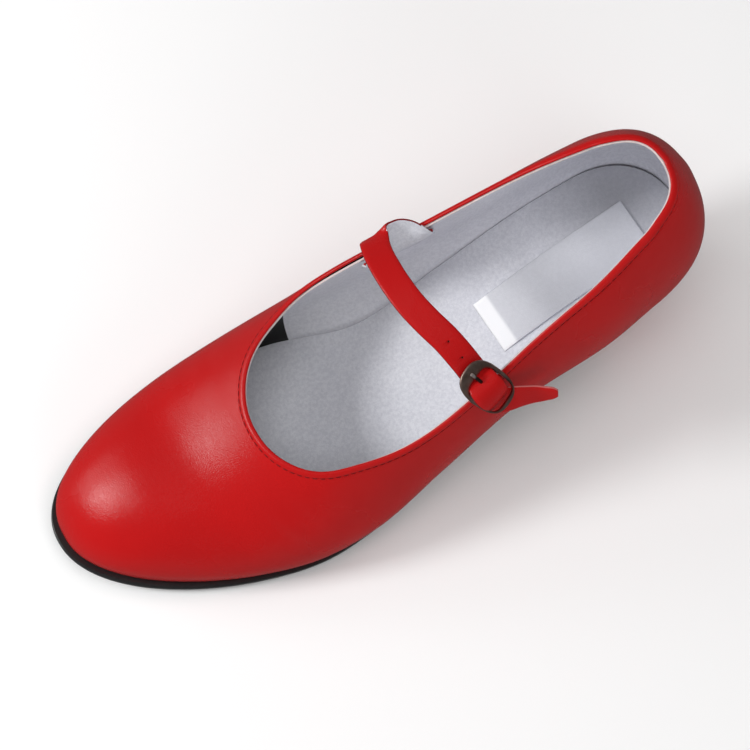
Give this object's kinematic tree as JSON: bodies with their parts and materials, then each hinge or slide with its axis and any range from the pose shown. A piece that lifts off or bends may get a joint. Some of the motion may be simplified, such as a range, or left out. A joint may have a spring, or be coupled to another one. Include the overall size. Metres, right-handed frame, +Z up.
{
  "type": "flamenco shoe",
  "caption": "Left strap shoe for flamenco dance: round-toed leather upper open at the instep, buckled strap, thin sole with rubber forepart and a tapered covered heel.",
  "frame": {"origin": "on the floor plane under the middle of the standing shoe's bounding box", "axes": "-X towards the toe, +X towards the heel, -Y the lateral side, +Y the medial side, +Z up"},
  "size_m": [0.2444, 0.0858, 0.107],
  "materials": {
    "red_leather": "smooth full grain, soft gloss",
    "heel_cover": "smooth full grain stretched over the heel block",
    "lining": "pale grey lining leather, matt",
    "sock": "pale grey sock leather, slight sheen",
    "sole_leather": "black, polished at the waist",
    "sole_rubber": "black, fine raised dots",
    "lift_rubber": "black, coarse crumb",
    "buckle_metal": "dark bronze plating",
    "prong_metal": "worn bright at the tip"
  },
  "bodies": {
    "root": {"upper": "red_leather", "strap": "red_leather", "buckle_tab": "red_leather", "heel": "heel_cover", "insole": "lining", "heel_sock": "sock", "outsole": "sole_leather", "half_sole": "sole_rubber", "top_lift": "lift_rubber", "buckle_frame": "buckle_metal", "buckle_prong": "prong_metal"}
  },
  "joints": []
}
